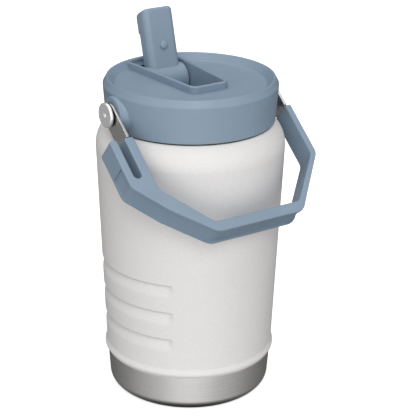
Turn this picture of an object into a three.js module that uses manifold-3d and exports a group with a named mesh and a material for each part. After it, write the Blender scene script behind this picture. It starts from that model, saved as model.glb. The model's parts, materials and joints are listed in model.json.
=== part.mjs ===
// Large water jug: a double-walled steel bottle with a screw lid, a flip-up straw spout
// and a swinging carry bail. Millimetres, +Z up. The origin is the middle of the base.
// X runs along the bail's pivot axis, and the bail rests towards -Y, the front.
import * as THREE from 'three';
import { mergeVertices } from 'three/addons/utils/BufferGeometryUtils.js';
import Module from 'manifold-3d';

const wasm = await Module();
wasm.setup();

// ---------------------------------------------------------------- driving dimensions
const GAP = 0.3;            // clearance between pieces that touch
const SHEET = 0.8;          // drawn steel wall
const SEGMENTS = 48;        // facets round a large turned piece
const INNER_SEGMENTS = 36;  // facets round a turned piece inside the jug
const SMALL_SEGMENTS = 20;  // facets round a pin, a screw or a straw

const FOOT_RADIUS = 49;     // flat ring that the jug stands on
const BASE_HEIGHT = 27;     // bare steel cup under the painted shell
const BASE_TOP_RADIUS = 58.5;
const BASE_LOW_RADIUS = 57.2;
const BASE_CORNER = 8.5;
const BEAD_RADIUS = 60.8;   // rolled bead at the foot of the shell
const SHELL_LOW = { r: 59.3, z: 34.6 };
const SHELL_HIGH = { r: 65.3, z: 180 };
const SHOULDER_CURVE = 22;
const SHOULDER_TOP = 197;
const VACUUM_SPACE = 2.6;   // between the shell and the liner

const GRIP_HEIGHTS = [96.5, 75.9, 55.3];  // deepest line of each pressed grip groove
const GRIP_DEPTH = 1.5;
const GRIP_RISE = 2.6;      // short steep flank above the deepest line
const GRIP_FALL = 8;        // long gentle flank below it
const GRIP_HALF_ARC = Math.PI / 4;

const NECK_RADIUS = 51;
const NECK_BOTTOM = SHOULDER_TOP - 2;
const LIP_TOP = 208.6;      // sealing face of the mouth
const MOUTH_RADIUS = 48.4;
const THREAD_LEAD = 5;
const THREAD_START = 200;
const THREAD_TURNS = 1.25;
const THREAD_SIZE = 1;      // radius of the rounded ridge

const LID_BOTTOM = 197.7;
const LID_SKIRT_RADIUS = 58;
const LID_RADIUS = 60;
const LID_EDGE = 223.2;     // where the outer chamfer starts
const LID_CREST = 228;
const LID_FLOOR = 222.8;    // sunk face inside the rim
const LID_WALL = 2.4;
const PIT_FLOOR = 206;
const PIT_BACK = 54;        // radius of the wall behind the spout
const RIM_FOOT = 51.5;      // where the rim's inner slope meets the sunk face
const PLATE_SEAM = 40;      // radius where the sunk plate is joined to the rim
const LINER_SEAT = 52.4;    // widest radius of the spout's housing over the liner

const BARREL = { y: 34.5, z: 216, radius: 10.5, half: 15 };
const SPOUT_LEAN = THREE.MathUtils.degToRad(15);
const SPOUT_LENGTH = 52;
const SPOUT_WIDTH = 22.4;
const SPOUT_DEPTH = 12.6;
const SPOUT_CORNER = 4.6;
const SPOUT_LIP = { foot: 33, proud: 1.4 };  // the thicker back of the spout's upper part
const BORE_RADIUS = 2;      // half of the oval drinking bore's depth
const BORE_HALF_WIDTH = 5;
const NUB_REACH = 24;       // from the barrel's axis to the vent plug
const NUB_RADIUS = 3;
const NUB_DEPTH = 2.4;      // how deep the plug's stem sits in the spout
const NUB_FLATTENING = 0.6; // the dome's height as a share of a half ball's
const TRUNNION = { radius: 3, reach: 17.4 };
const VENT_Y = BARREL.y - NUB_REACH;
const VENT_STEM = 2.1;
const STRAW_RADIUS = 4.75;
const STRAW_BORE = 3.3;
const STRAW_BOTTOM = 12.5;

const PIVOT_HEIGHT = 211;
const INSERT_RADIUS = 3.2;  // brass insert that takes the pivot screw
const BOSS_FACE = 62.5;     // how far out the flat face of the pivot boss stands
const BOSS = { root: 56.8, foot: 16, face: 11.5, pad: 7 };  // place of its root, and its radii
const STRAP_INNER = 62.9;
const STRAP_THICKNESS = 2;
const STRAP_HALF_WIDTH = 8;
const BAIL_ANGLE = THREE.MathUtils.degToRad(50);  // from straight down, towards the front
const BAIL_INNER = 61.7;
const BAIL_BAR_INNER = 96.8;
const BAIL_BAR_OUTER = 104.6;
const BAIL_FACE = -10;      // flat front face of the bail, ahead of the pivot plane
const BAIL_BACK = 8;        // its back face, behind that plane

// ---------------------------------------------------------------- helpers
// A closed mesh as a manifold solid, with its faces turned outwards.
function solid(geometry) {
  const bare = geometry.index ? geometry.toNonIndexed() : geometry.clone();
  for (const name of Object.keys(bare.attributes)) {
    if (name !== 'position') bare.deleteAttribute(name);
  }
  const merged = mergeVertices(bare, 1e-4);
  const corners = merged.attributes.position.array;
  const faces = [];
  let volume = 0;
  const [a, b, c] = [new THREE.Vector3(), new THREE.Vector3(), new THREE.Vector3()];
  const index = merged.index.array;
  for (let i = 0; i < index.length; i += 3) {
    const face = [index[i], index[i + 1], index[i + 2]];
    if (face[0] === face[1] || face[1] === face[2] || face[0] === face[2]) continue;
    a.fromArray(corners, 3 * face[0]);
    b.fromArray(corners, 3 * face[1]);
    c.fromArray(corners, 3 * face[2]);
    volume += a.dot(b.cross(c));
    faces.push(face);
  }
  if (volume < 0) faces.forEach((face) => face.reverse());
  return new wasm.Manifold(new wasm.Mesh({
    numProp: 3,
    vertProperties: new Float32Array(corners),
    triVerts: new Uint32Array(faces.flat()),
  }));
}

function geometryOf(body) {
  const mesh = body.getMesh();
  const geometry = new THREE.BufferGeometry();
  geometry.setAttribute('position', new THREE.BufferAttribute(new Float32Array(mesh.vertProperties), 3));
  geometry.setIndex(new THREE.BufferAttribute(new Uint32Array(mesh.triVerts), 1));
  geometry.computeVertexNormals();
  return geometry;
}

// A profile of [radius, height] points turned about Z.
function turned(profile, segments = SEGMENTS) {
  const geometry = new THREE.LatheGeometry(profile.map(([r, z]) => new THREE.Vector2(r, z)), segments);
  return solid(geometry.rotateX(Math.PI / 2));
}

// The same, with the last point joined back to the first.
function turnedRing(profile, segments = SEGMENTS) {
  return turned([...profile, profile[0]], segments);
}

// Points of an arc in the profile plane, both ends included. Angles are in degrees.
function arc(r, z, radius, from, to, steps) {
  return Array.from({ length: steps + 1 }, (_, i) => {
    const angle = THREE.MathUtils.degToRad(from + (to - from) * i / steps);
    return [r + radius * Math.cos(angle), z + radius * Math.sin(angle)];
  });
}

// An outline of [x, y, cornerRadius] points with its corners rounded.
function rounded(corners, steps = 4) {
  const points = [];
  corners.forEach(([x, y, radius = 0], i) => {
    const here = new THREE.Vector2(x, y);
    const before = new THREE.Vector2(...corners.at(i - 1).slice(0, 2)).sub(here).normalize();
    const after = new THREE.Vector2(...corners[(i + 1) % corners.length].slice(0, 2)).sub(here).normalize();
    if (!radius) {
      points.push(here);
      return;
    }
    const half = Math.acos(THREE.MathUtils.clamp(before.dot(after), -1, 1)) / 2;
    const middle = before.clone().add(after).normalize();
    const centre = here.clone().addScaledVector(middle, radius / Math.sin(half));
    const start = here.clone().addScaledVector(before, radius / Math.tan(half)).sub(centre).angle();
    const end = here.clone().addScaledVector(after, radius / Math.tan(half)).sub(centre).angle();
    const sweep = THREE.MathUtils.euclideanModulo(end - start + Math.PI, 2 * Math.PI) - Math.PI;
    for (let k = 0; k <= steps; k += 1) {
      const angle = start + sweep * k / steps;
      points.push(new THREE.Vector2(Math.cos(angle), Math.sin(angle)).multiplyScalar(radius).add(centre));
    }
  });
  return points;
}

// An outline in XY pushed up from z = low to z = high.
function prism(points, low, high) {
  const geometry = new THREE.ExtrudeGeometry(new THREE.Shape(points), {
    depth: high - low, bevelEnabled: false, steps: 1,
  });
  return solid(geometry.translate(0, 0, low));
}

// A cylinder or cone along X between two places.
function rodX(x0, x1, y, z, radius0, radius1 = radius0, segments = SMALL_SEGMENTS) {
  const geometry = new THREE.CylinderGeometry(radius1, radius0, Math.abs(x1 - x0), segments);
  geometry.rotateZ(x1 > x0 ? -Math.PI / 2 : Math.PI / 2);
  return solid(geometry.translate((x0 + x1) / 2, y, z));
}

function rodZ(x, y, low, high, radius, segments = SMALL_SEGMENTS) {
  const geometry = new THREE.CylinderGeometry(radius, radius, high - low, segments);
  return solid(geometry.rotateX(Math.PI / 2).translate(x, y, (low + high) / 2));
}

// A rounded ridge that climbs round the Z axis.
function ridge(radius, height, fromTurn, toTurn) {
  class Helix extends THREE.Curve {
    getPoint(t, target = new THREE.Vector3()) {
      const turn = fromTurn + (toTurn - fromTurn) * t;
      const angle = 2 * Math.PI * turn;
      return target.set(radius * Math.cos(angle), radius * Math.sin(angle), height + THREAD_LEAD * turn);
    }
  }
  const section = new THREE.Shape();
  section.absarc(0, 0, THREAD_SIZE, 0, 2 * Math.PI);
  return solid(new THREE.ExtrudeGeometry(section, {
    extrudePath: new Helix(), steps: Math.round(28 * (toTurn - fromTurn)), curveSegments: 3,
  }));
}

const jug = new THREE.Group();

function add(name, body, colour, roughness, metalness = 0) {
  const material = new THREE.MeshStandardMaterial({ color: colour, roughness, metalness });
  const mesh = new THREE.Mesh(geometryOf(body), material);
  mesh.name = name;
  jug.add(mesh);
}

const BLUE = 0x8795a6;
const STONE = 0xd9d6d2;
const STEEL = 0xb9b9b7;
const BLACK = 0x1d1e20;
const SILICONE = 0xcfd3d6;
const BRASS = 0xb8964c;

// ---------------------------------------------------------------- bottle
const shellSlope = (SHELL_HIGH.r - SHELL_LOW.r) / (SHELL_HIGH.z - SHELL_LOW.z);
const shellRadius = (z) => SHELL_LOW.r + shellSlope * (z - SHELL_LOW.z);
const shoulderEnd = THREE.MathUtils.radToDeg(Math.asin((SHOULDER_TOP - SHELL_HIGH.z) / SHOULDER_CURVE));

// The shell's outside moved inwards by an inset, from its lower edge to the neck.
function shellProfile(inset) {
  const centre = SHELL_HIGH.r - SHOULDER_CURVE;
  const shoulder = arc(centre, SHELL_HIGH.z, SHOULDER_CURVE - inset, 0, shoulderEnd, 5);
  return [
    [BASE_TOP_RADIUS + 0.2 - inset, BASE_HEIGHT + GAP],
    [BEAD_RADIUS - 0.7 - inset, BASE_HEIGHT + 1.2],
    [BEAD_RADIUS - inset, BASE_HEIGHT + 3.2],
    [BEAD_RADIUS - 0.5 - inset, BASE_HEIGHT + 5.4],
    [SHELL_LOW.r - inset, SHELL_LOW.z],
    ...shoulder,
  ];
}

// A pressed groove on the -X side: its cross-section turned and kept to a quarter of the round.
function gripCutter(height, inset) {
  const surface = (z) => shellRadius(z) - inset;
  const outside = 4;
  const ring = turnedRing([
    [surface(height) - GRIP_DEPTH, height],
    [surface(height + GRIP_RISE), height + GRIP_RISE],
    [surface(height + GRIP_RISE) + outside, height + GRIP_RISE],
    [surface(height - GRIP_FALL) + outside, height - GRIP_FALL],
    [surface(height - GRIP_FALL), height - GRIP_FALL],
  ]);
  const reach = 2 * SHELL_HIGH.r;
  const side = reach * Math.tan(GRIP_HALF_ARC);
  const wedge = prism([[0, 0], [-reach, side], [-reach, -side]].map(([x, y]) => new THREE.Vector2(x, y)),
    height - 2 * GRIP_FALL, height + 2 * GRIP_FALL);
  return ring.intersect(wedge);
}

function shellSolid(inset, low, high) {
  const profile = shellProfile(inset);
  const body = turned([[0, low], [profile[0][0], low], ...profile, [profile.at(-1)[0], high], [0, high]]);
  return GRIP_HEIGHTS.reduce((result, height) => result.subtract(gripCutter(height, inset)), body);
}

function outerShell() {
  const hollow = shellSolid(SHEET, BASE_HEIGHT - 5, SHOULDER_TOP - SHEET);
  const neckHole = rodZ(0, 0, SHOULDER_TOP - 5, SHOULDER_TOP + 5, NECK_RADIUS + GAP, SEGMENTS);
  return shellSolid(0, BASE_HEIGHT + GAP, SHOULDER_TOP).subtract(hollow).subtract(neckHole);
}
add('outer_shell', outerShell(), STONE, 0.5);

function baseCup() {
  const cornerRadius = BASE_LOW_RADIUS - FOOT_RADIUS + 0.3;
  return turned([
    [0, 0], [36, 0], [36.6, 0.5], [38.4, 0.5], [39, 0], [FOOT_RADIUS, 0],
    ...arc(BASE_LOW_RADIUS - BASE_CORNER, BASE_CORNER, BASE_CORNER, -75, 0, 4),
    [BASE_TOP_RADIUS, BASE_HEIGHT],
    [BASE_TOP_RADIUS - SHEET, BASE_HEIGHT],
    ...arc(BASE_LOW_RADIUS - BASE_CORNER, BASE_CORNER, cornerRadius - SHEET, 0, -90, 3),
    [0, SHEET],
  ]);
}
add('base_cup', baseCup(), STEEL, 0.32, 1);

// The glass bead that closes the hole the air was drawn out of.
add('vacuum_seal', rodZ(0, 0, SHEET + GAP, SHEET + GAP + 1.2, 3), 0x6f7d86, 0.2);

const LINER_FLOOR = 7;
const LINER_INSET = SHEET + VACUUM_SPACE;
function innerLiner() {
  const lowRadius = shellRadius(20) - LINER_INSET;
  const shoulderCentre = SHELL_HIGH.r - SHOULDER_CURVE;
  const outside = (inset) => [
    [lowRadius - 10, LINER_FLOOR + inset],
    ...arc(lowRadius - 10, LINER_FLOOR + 10, 10 - inset, -60, 0, 2),
    [SHELL_HIGH.r - LINER_INSET - inset, SHELL_HIGH.z - 4],
    ...arc(shoulderCentre, SHELL_HIGH.z - 4, SHOULDER_CURVE - LINER_INSET - inset, 15, 68, 3),
  ];
  const shoulderHeight = SHELL_HIGH.z - 4 + SHOULDER_CURVE - LINER_INSET;
  return turned([
    [0, LINER_FLOOR], ...outside(0),
    [MOUTH_RADIUS + SHEET, shoulderHeight - 0.6], [MOUTH_RADIUS + SHEET, NECK_BOTTOM - GAP],
    [MOUTH_RADIUS, NECK_BOTTOM - GAP], [MOUTH_RADIUS, shoulderHeight - 1],
    ...outside(SHEET).reverse(), [0, LINER_FLOOR + SHEET],
  ], INNER_SEGMENTS);
}
add('inner_liner', innerLiner(), STEEL, 0.35, 1);

// A pill of getter metal under the liner keeps the vacuum.
add('getter', rodZ(16, 0, LINER_FLOOR - GAP - 1.6, LINER_FLOOR - GAP, 5), 0x8b8f93, 0.6, 1);

// The neck is a turned ring that stands on the liner inside the shell's hole, with a rounded lip.
function threadedNeck() {
  const tube = turnedRing([[MOUTH_RADIUS, NECK_BOTTOM], [NECK_RADIUS, NECK_BOTTOM],
    [NECK_RADIUS, LIP_TOP - 1], [NECK_RADIUS - 0.5, LIP_TOP], [MOUTH_RADIUS, LIP_TOP]], INNER_SEGMENTS);
  return tube.add(ridge(NECK_RADIUS + 0.2, THREAD_START, 0, THREAD_TURNS));
}
add('threaded_neck', threadedNeck(), STEEL, 0.35, 1);

// ---------------------------------------------------------------- seals of the mouth
const GASKET_LOW = LIP_TOP + GAP;
const GASKET_HIGH = GASKET_LOW + 1.5;
add('rim_gasket', turnedRing([[MOUTH_RADIUS + 0.3, GASKET_LOW], [NECK_RADIUS + 0.2, GASKET_LOW],
  [NECK_RADIUS + 0.2, GASKET_HIGH], [MOUTH_RADIUS + 0.3, GASKET_HIGH]], INNER_SEGMENTS), SILICONE, 0.7);

const O_RING = { radius: MOUTH_RADIUS - 1.2, z: 203.4, size: 0.9 };
const oRingLine = arc(O_RING.radius, O_RING.z, O_RING.size, 0, 300, 5);
add('plug_o_ring', turnedRing(oRingLine, INNER_SEGMENTS), SILICONE, 0.7);

// ---------------------------------------------------------------- lid
const channelHalfWidth = (y) => 15.2 + (y + 20) * 4.3 / 65;
const CHANNEL_FRONT = -25;
const CHANNEL_CORNER = 5.5;

// The U-shaped channel round the spout: an outline moved inwards by an inset, open at the back.
function channelOutline(inset, back) {
  const front = CHANNEL_FRONT + inset;
  const frontHalf = channelHalfWidth(front) - inset;
  const backHalf = channelHalfWidth(back) - inset;
  const corner = CHANNEL_CORNER - inset * 0.7;
  return rounded([
    [-backHalf, back], [-frontHalf, front, corner], [frontHalf, front, corner], [backHalf, back],
  ]);
}

const LINER_PLATE_LOW = GASKET_HIGH + GAP;
const LINER_PLATE_HIGH = LINER_PLATE_LOW + 2;
const BARREL_PLAY = 0.4;
const HOUSING_LOW = PIT_FLOOR - LID_WALL;
const NIPPLE = { radius: 8.2, low: 194, socket: STRAW_RADIUS + GAP, stop: 201.6 };
const SEAL = { radius: 6.2, low: 203.4, high: 205.15 };

// The sunk housing that holds the barrel, grown by a margin where another piece must clear it.
function housing(margin = 0) {
  const deep = prism(channelOutline(-margin, BARREL.y + margin), HOUSING_LOW - margin, LID_FLOOR);
  const round = rodX(-(BARREL.half + 2.6 + margin), BARREL.half + 2.6 + margin, BARREL.y, BARREL.z,
    BARREL.radius + BARREL_PLAY + 2.2 + margin, undefined, 32);
  const nipple = rodZ(0, BARREL.y, NIPPLE.low, BARREL.z - BARREL.radius, NIPPLE.radius + margin);
  return deep.add(round).add(nipple);
}

function lidCap() {
  const skirt = turnedRing([
    [LID_SKIRT_RADIUS - LID_WALL, LID_BOTTOM], [LID_SKIRT_RADIUS - 0.4, LID_BOTTOM],
    [LID_SKIRT_RADIUS, LID_BOTTOM + 0.6], [LID_RADIUS, LID_EDGE],
    [LID_RADIUS - 0.5, LID_EDGE + 1.4], [LID_RADIUS - 2.4, LID_CREST - 0.4],
    [LID_RADIUS - 2.9, LID_CREST], [LID_RADIUS - 3.4, LID_CREST - 0.1],
    [RIM_FOOT, LID_FLOOR], [PLATE_SEAM, LID_FLOOR], [PLATE_SEAM, LID_FLOOR - LID_WALL],
    [LID_RADIUS - LID_WALL - 1, LID_FLOOR - LID_WALL],
  ]);
  const plate = rodZ(0, 0, LID_FLOOR - LID_WALL, LID_FLOOR, PLATE_SEAM + 5, SEGMENTS);
  const envelope = turned([[0, 190], [MOUTH_RADIUS - 0.5, 190], [MOUTH_RADIUS - 0.5, LINER_PLATE_LOW + 0.1],
    [LINER_SEAT, LINER_PLATE_LOW + 0.2], [LINER_SEAT, LINER_PLATE_HIGH + 0.3],
    [LID_RADIUS - 3.6, LINER_PLATE_HIGH + 1.5], [LID_RADIUS - 3.6, LID_CREST - 0.1], [0, LID_CREST - 0.1]]);
  const walls = prism(channelOutline(0, LID_RADIUS), LINER_PLATE_HIGH + GAP, LID_CREST + 1);
  let lid = skirt.add(plate).add(housing().add(walls).intersect(envelope));

  const floorAt = turned([[0, PIT_FLOOR], [MOUTH_RADIUS - 3, PIT_FLOOR], [MOUTH_RADIUS - 3, BARREL.z - 3],
    [PIT_BACK, BARREL.z], [PIT_BACK, LID_CREST + 2], [0, LID_CREST + 2]]);
  const deepPit = prism(channelOutline(LID_WALL, BARREL.y), PIT_FLOOR, LID_CREST + 2);
  const backPit = prism(channelOutline(LID_WALL, LID_RADIUS), BARREL.z, LID_CREST + 2).intersect(floorAt);
  const pocketHalf = BARREL.half + BARREL_PLAY;
  const pocketRadius = BARREL.radius + BARREL_PLAY;
  const pocket = rodX(-pocketHalf, pocketHalf, BARREL.y, BARREL.z, pocketRadius, undefined, 32);
  lid = lid.subtract(deepPit.intersect(floorAt)).subtract(backPit).subtract(pocket);

  for (const side of [-1, 1]) {
    const boss = rodX(side * BOSS.root, side * BOSS_FACE, 0, PIVOT_HEIGHT, BOSS.foot, BOSS.face, 32);
    const pad = rodX(side * (BOSS.root - 1.2), side * (BOSS.root + 1.2), 0, PIVOT_HEIGHT, BOSS.pad);
    const trim = rodZ(0, 0, LID_BOTTOM, LID_CREST, 70, SEGMENTS);
    const hole = rodX(side * (BOSS.root - 0.2), side * (BOSS_FACE + 1), 0, PIVOT_HEIGHT, INSERT_RADIUS + GAP);
    const trunnionHole = rodX(0, side * (TRUNNION.reach + GAP), BARREL.y, BARREL.z, TRUNNION.radius + GAP);
    lid = lid.add(boss.intersect(trim)).add(pad).subtract(hole).subtract(trunnionHole);
  }
  const socket = rodZ(0, BARREL.y, NIPPLE.low - 1, NIPPLE.stop, NIPPLE.socket);
  const port = rodZ(0, BARREL.y, NIPPLE.stop - 1, BARREL.z, STRAW_BORE);
  const seat = rodZ(0, BARREL.y, SEAL.low - GAP, BARREL.z, SEAL.radius + GAP);
  const vent = rodZ(0, VENT_Y, HOUSING_LOW - 1, PIT_FLOOR + 1, VENT_STEM + GAP);
  return lid.subtract(socket).subtract(port).subtract(seat).subtract(vent);
}

add('lid_cap', lidCap(), BLUE, 0.6);

function lidLiner() {
  const skirtInner = LINER_SEAT + 0.5;
  const skirtOuter = LID_SKIRT_RADIUS - LID_WALL - 0.4;
  const plugOuter = MOUTH_RADIUS - 1.4;
  const plugInner = plugOuter - 3.2;
  const plugLow = 201;
  const grooveHalf = O_RING.size + GAP;
  const shell = turned([
    [0, LINER_PLATE_LOW], [plugInner, LINER_PLATE_LOW], [plugInner, plugLow], [plugOuter - 0.6, plugLow],
    [plugOuter, plugLow + 0.6], [plugOuter, O_RING.z - grooveHalf],
    [O_RING.radius - grooveHalf, O_RING.z - grooveHalf], [O_RING.radius - grooveHalf, O_RING.z + grooveHalf],
    [plugOuter, O_RING.z + grooveHalf], [plugOuter, LINER_PLATE_LOW],
    [skirtInner, LINER_PLATE_LOW], [skirtInner, LID_BOTTOM + 1.2], [skirtOuter, LID_BOTTOM + 1.2],
    [skirtOuter, LINER_PLATE_HIGH], [0, LINER_PLATE_HIGH],
  ], INNER_SEGMENTS);
  const lidThread = ridge(skirtInner - 0.2, THREAD_START - THREAD_LEAD / 2, 0.7, 1.65);
  return shell.add(lidThread).subtract(housing(GAP + 0.1));
}
add('lid_liner', lidLiner(), 0x3a3f45, 0.6);

function tubeZ(x, y, low, high, outer, inner, segments = SMALL_SEGMENTS) {
  return rodZ(x, y, low, high, outer, segments).subtract(rodZ(x, y, low - 1, high + 1, inner, segments));
}

// The straw's lower end is cut at a slant so that it can't seal against the bottom.
function strawTube() {
  const below = prism(rounded([[-10, -20], [10, -20], [10, 4], [-10, -4]]), -10, 10);
  const cut = below.rotate([90, 0, 90]).translate([0, BARREL.y, STRAW_BOTTOM + 2]);
  return tubeZ(0, BARREL.y, STRAW_BOTTOM - 2, NIPPLE.stop - GAP, STRAW_RADIUS, STRAW_BORE).subtract(cut);
}
add('straw_tube', strawTube(), 0xe6eaec, 0.3);
add('spout_seal', tubeZ(0, BARREL.y, SEAL.low, SEAL.high, SEAL.radius, STRAW_BORE), SILICONE, 0.7);

function ventGrommet() {
  const stem = tubeZ(0, VENT_Y, HOUSING_LOW - 0.4, PIT_FLOOR + 1, VENT_STEM, 0.9);
  const flange = tubeZ(0, VENT_Y, PIT_FLOOR + GAP, PIT_FLOOR + 1.3, 4, 0.9);
  return stem.add(flange);
}
add('vent_grommet', ventGrommet(), SILICONE, 0.7);

// ---------------------------------------------------------------- spout
// Built upright along +Z from the barrel's axis, then leaned back about X.
function mouthpiece() {
  const half = SPOUT_WIDTH / 2;
  const deep = SPOUT_DEPTH / 2;
  const oval = (w, d, r) => rounded([[-w, -d, r], [w, -d, r], [w, d, r], [-w, d, r]]);
  const stalk = prism(oval(half, deep, SPOUT_CORNER), 0, SPOUT_LENGTH);
  const lip = prism(oval(half, deep, SPOUT_CORNER), SPOUT_LIP.foot, SPOUT_LENGTH)
    .translate([0, SPOUT_LIP.proud, 0]);
  // The tip slopes down towards the back, and its front edge is rounded off.
  const drop = (deep + 30) * Math.tan(SPOUT_LEAN);
  const tip = prism(rounded([[-deep, -20], [30, -20], [30, SPOUT_LENGTH - drop], [-deep, SPOUT_LENGTH, 4]]),
    -30, 30).rotate([90, 0, 90]);
  let body = stalk.add(lip).intersect(tip);

  const barrel = rodX(-BARREL.half, BARREL.half, 0, 0, BARREL.radius, undefined, 32);
  const trunnions = rodX(-TRUNNION.reach, TRUNNION.reach, 0, 0, TRUNNION.radius);
  body = body.add(barrel).add(trunnions);

  const bore = prism(oval(BORE_HALF_WIDTH, BORE_RADIUS, BORE_RADIUS - 0.05), 0, SPOUT_LENGTH + 5);
  const turnDown = prism(oval(BORE_RADIUS + 0.6, BORE_RADIUS, BORE_RADIUS - 0.05), -BARREL.radius - 2, 2);
  const nubHole = rodZ(0, 0, deep - NUB_DEPTH - GAP, deep + 5, NUB_RADIUS - 1 + GAP).rotate([90, 0, 0]);
  return body.rotate([-THREE.MathUtils.radToDeg(SPOUT_LEAN), 0, 0])
    .subtract(bore.rotate([-THREE.MathUtils.radToDeg(SPOUT_LEAN), 0, 0]))
    .subtract(turnDown)
    .subtract(nubHole.translate([0, 0, NUB_REACH]).rotate([-THREE.MathUtils.radToDeg(SPOUT_LEAN), 0, 0]))
    .translate([0, BARREL.y, BARREL.z]);
}

// A soft dome on the spout's front that plugs the vent when the spout is folded.
function ventPlug() {
  const deep = SPOUT_DEPTH / 2;
  const stem = rodZ(0, 0, deep - NUB_DEPTH, deep + 1, NUB_RADIUS - 1);
  const crown = arc(0, 0.2, NUB_RADIUS, 0, 90, 5).map(([r, z]) => [r, z * NUB_FLATTENING]);
  const dome = turned([[0, 0], [NUB_RADIUS, 0], ...crown], SMALL_SEGMENTS).translate([0, 0, deep + GAP]);
  return stem.add(dome).rotate([90, 0, 0]).translate([0, 0, NUB_REACH])
    .rotate([-THREE.MathUtils.radToDeg(SPOUT_LEAN), 0, 0]).translate([0, BARREL.y, BARREL.z]);
}
add('mouthpiece', mouthpiece(), BLUE, 0.6);
add('vent_plug', ventPlug(), BLUE, 0.7);

// ---------------------------------------------------------------- pivots, one on each side
const WASHER = { low: STRAP_INNER + STRAP_THICKNESS + 0.25, thick: 0.8, radius: 7.8 };
const HEAD = { low: WASHER.low + WASHER.thick + 0.25, thick: 2.1, radius: 8.5 };
const SHANK_RADIUS = 1.6;
const BUSH_RADIUS = 2.7;

function insert(side) {
  const body = rodX(side * 57, side * 62.2, 0, PIVOT_HEIGHT, INSERT_RADIUS);
  return body.subtract(rodX(side * 50, side * 70, 0, PIVOT_HEIGHT, SHANK_RADIUS + GAP));
}

function bush(side) {
  const flange = rodX(side * WASHER.low, side * (WASHER.low + WASHER.thick), 0, PIVOT_HEIGHT, WASHER.radius);
  const tube = rodX(side * (BOSS_FACE + GAP), side * (WASHER.low + 0.2), 0, PIVOT_HEIGHT, BUSH_RADIUS);
  return flange.add(tube).subtract(rodX(side * 50, side * 80, 0, PIVOT_HEIGHT, SHANK_RADIUS + GAP));
}

function screw(side) {
  const outer = HEAD.low + HEAD.thick;
  const disc = rodX(side * HEAD.low, side * (outer - 1), 0, PIVOT_HEIGHT, HEAD.radius);
  const chamfer = rodX(side * (outer - 1), side * outer, 0, PIVOT_HEIGHT, HEAD.radius, HEAD.radius - 1.3);
  const shank = rodX(side * 57.6, side * (HEAD.low + 0.5), 0, PIVOT_HEIGHT, SHANK_RADIUS);
  const socket = rodX(side * (outer - 1.3), side * (outer + 1), 0, PIVOT_HEIGHT, 1.8, 1.8, 6);
  return disc.add(chamfer).add(shank).subtract(socket);
}

for (const [side, name] of [[-1, 'left'], [1, 'right']]) {
  add(`threaded_insert_${name}`, insert(side), BRASS, 0.4, 1);
  add(`pivot_bush_${name}`, bush(side), BLACK, 0.5);
  add(`pivot_screw_${name}`, screw(side), STEEL, 0.2, 1);
}

// ---------------------------------------------------------------- bail
// Drawn flat: x across, y = distance from the pivot axis, z = depth behind the pivot plane.
// hang() then turns it down to its resting angle and puts it on the pivots.
function hang(body) {
  const angle = 270 - THREE.MathUtils.radToDeg(BAIL_ANGLE);
  return body.rotate([angle, 0, 0]).translate([0, 0, PIVOT_HEIGHT]);
}

const BAIL_TOP = 24.5;      // where the plastic starts, measured down the arm
const TONGUE_HALF = 6.5;
const TONGUE_END = 42;
const PIN = { along: 35, radius: 1.5 };

function strap(side) {
  const half = STRAP_HALF_WIDTH;
  const headRound = half - 0.1;
  const outline = rounded([
    [-half, -half, headRound], [half, -half, headRound],
    [half, BAIL_TOP - 1.5, 1], [TONGUE_HALF, BAIL_TOP - 0.5], [TONGUE_HALF, TONGUE_END, 2],
    [-TONGUE_HALF, TONGUE_END, 2], [-TONGUE_HALF, BAIL_TOP - 0.5], [-half, BAIL_TOP - 1.5, 1],
  ], 6);
  const plate = prism(outline, 0, STRAP_THICKNESS).rotate([0, -90, 0]);
  const low = side > 0 ? STRAP_INNER + STRAP_THICKNESS : -STRAP_INNER;
  const placed = plate.translate([low, 0, 0]);
  const pivotHole = rodX(side * 60, side * 70, 0, 0, BUSH_RADIUS + GAP);
  const pinHole = rodX(side * 60, side * 70, PIN.along, 0, PIN.radius + GAP);
  return hang(placed.subtract(pivotHole).subtract(pinHole));
}

function strapPin(side) {
  return hang(rodX(side * (BAIL_INNER + 0.7), side * 65.8, PIN.along, 0, PIN.radius));
}

// The left arm carries a second finger outside it, so that the bail also works as a hook.
const HOOK = { outer: 79.8, finger: 74.2, arm: 68.4, slotEnd: 55 };
function handleBody() {
  const slotCentre = (HOOK.finger + HOOK.arm) / 2;
  const slotRadius = (HOOK.finger - HOOK.arm) / 2 - 0.01;
  const outline = rounded([
    [66.6, BAIL_TOP, 1.2], [66.6, 65, 8], [39, 97.8, 14], [33.5, BAIL_BAR_OUTER, 10],
    [-34.5, BAIL_BAR_OUTER, 10], [-61, 81.6, 12], [-HOOK.outer, 60, 8], [-HOOK.outer, BAIL_TOP, 2.4],
    [-HOOK.finger, BAIL_TOP, 2.4], [-HOOK.finger, HOOK.slotEnd, slotRadius],
    [-HOOK.arm, HOOK.slotEnd, slotRadius], [-HOOK.arm, BAIL_TOP, 1.2],
    [-BAIL_INNER, BAIL_TOP, 1.2], [-BAIL_INNER, 65, 7],
    [-34, BAIL_BAR_INNER, 6], [34, BAIL_BAR_INNER, 6], [BAIL_INNER, 65, 7], [BAIL_INNER, BAIL_TOP, 1.2],
  ]);
  let body = prism(outline, BAIL_FACE, BAIL_BACK);
  for (const s of [-1, 1]) {
    const pocket = solid(new THREE.BoxGeometry(STRAP_THICKNESS + 2 * GAP, TONGUE_END + GAP - BAIL_TOP + 3,
      2 * (TONGUE_HALF + GAP)).translate(s * (STRAP_INNER + STRAP_THICKNESS / 2),
      (TONGUE_END + GAP + BAIL_TOP - 3) / 2, 0));
    const pinHole = rodX(s * (BAIL_INNER + 0.4), s * 66.1, PIN.along, 0, PIN.radius + GAP);
    body = body.subtract(pocket).subtract(pinHole);
  }
  // Each arm is relieved where it comes to rest against the shoulder.
  return hang(body).subtract(shellSolid(-0.5, BASE_HEIGHT, SHOULDER_TOP));
}

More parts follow.
